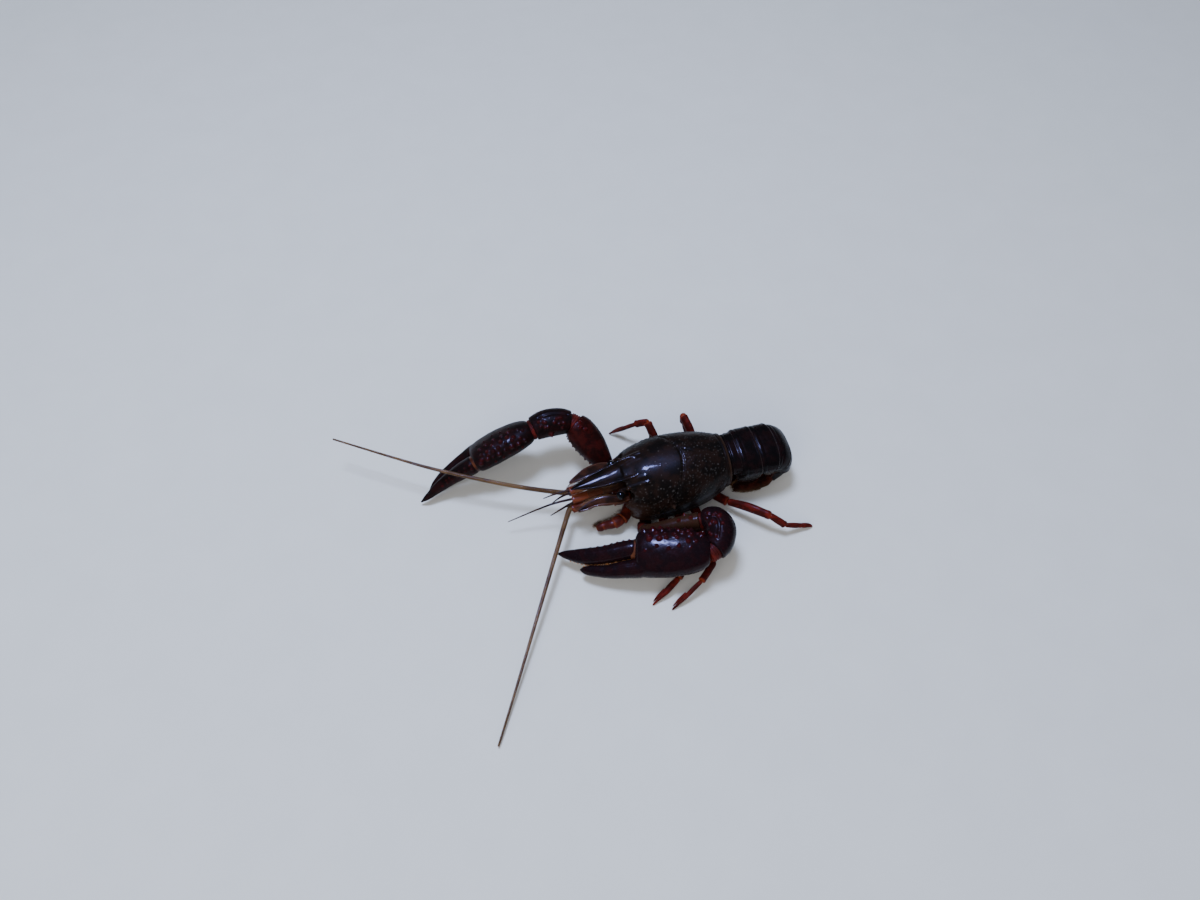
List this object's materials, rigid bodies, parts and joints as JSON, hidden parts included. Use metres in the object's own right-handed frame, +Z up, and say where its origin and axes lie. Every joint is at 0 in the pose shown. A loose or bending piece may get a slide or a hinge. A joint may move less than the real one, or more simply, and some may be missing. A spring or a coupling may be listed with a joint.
{
  "type": "red swamp crayfish",
  "caption": "Life-size still model of a red swamp crayfish at rest: dark granular shell, long slender claws held forward, swept feelers and tail curled under.",
  "frame": {"origin": "on the floor, at the middle of the whole animal's box", "axes": "-X towards the head, +Y towards the animal's right side, +Z up from the floor"},
  "size_m": [0.1412, 0.1074, 0.0232],
  "materials": {
    "shell": "wet gloss, very dark red-brown, granular on the sides",
    "tail_shell": "wet gloss, near black with dark red edges",
    "tail_fan": "gloss, dark red-brown with a fringe of bristles",
    "underside": "satin, dull red-brown",
    "eyestalk": "satin, dark brown",
    "eye": "high gloss, black",
    "antenna_base": "satin, orange-red",
    "antenna_scale": "satin, dark red-brown",
    "feeler": "satin, ringed olive-brown",
    "mouthpart": "satin, red-brown with bristles",
    "leg": "gloss, deep red with orange joints",
    "claw": "gloss, purple-black with red tubercles"
  },
  "bodies": {
    "root": {"carapace": "shell", "sternum": "underside", "abdomen_1": "tail_shell", "abdomen_2": "tail_shell", "abdomen_3": "tail_shell", "abdomen_4": "tail_shell", "abdomen_5": "tail_shell", "abdomen_6": "tail_shell", "telson": "tail_fan", "uropod_inner_left": "tail_fan", "uropod_outer_left": "tail_fan", "eyestalk_left": "eyestalk", "eye_left": "eye", "antenna_base_left": "antenna_base", "antenna_left": "feeler", "antenna_scale_left": "antenna_scale", "antennule_left": "feeler", "maxilliped_left": "mouthpart", "leg_2_left_upper": "leg", "leg_2_left_lower": "leg", "leg_3_left_upper": "leg", "leg_3_left_lower": "leg", "leg_4_left_upper": "leg", "leg_4_left_lower": "leg", "leg_5_left_upper": "leg", "leg_5_left_lower": "leg", "claw_left_ischium": "claw", "claw_left_merus": "claw", "claw_left_carpus": "claw", "claw_left_palm": "claw", "claw_left_finger": "claw", "uropod_inner_right": "tail_fan", "uropod_outer_right": "tail_fan", "eyestalk_right": "eyestalk", "eye_right": "eye", "antenna_base_right": "antenna_base", "antenna_right": "feeler", "antenna_scale_right": "antenna_scale", "antennule_right": "feeler", "maxilliped_right": "mouthpart", "leg_2_right_upper": "leg", "leg_2_right_lower": "leg", "leg_3_right_upper": "leg", "leg_3_right_lower": "leg", "leg_4_right_upper": "leg", "leg_4_right_lower": "leg", "leg_5_right_upper": "leg", "leg_5_right_lower": "leg", "claw_right_ischium": "claw", "claw_right_merus": "claw", "claw_right_carpus": "claw", "claw_right_palm": "claw", "claw_right_finger": "claw"}
  },
  "joints": []
}
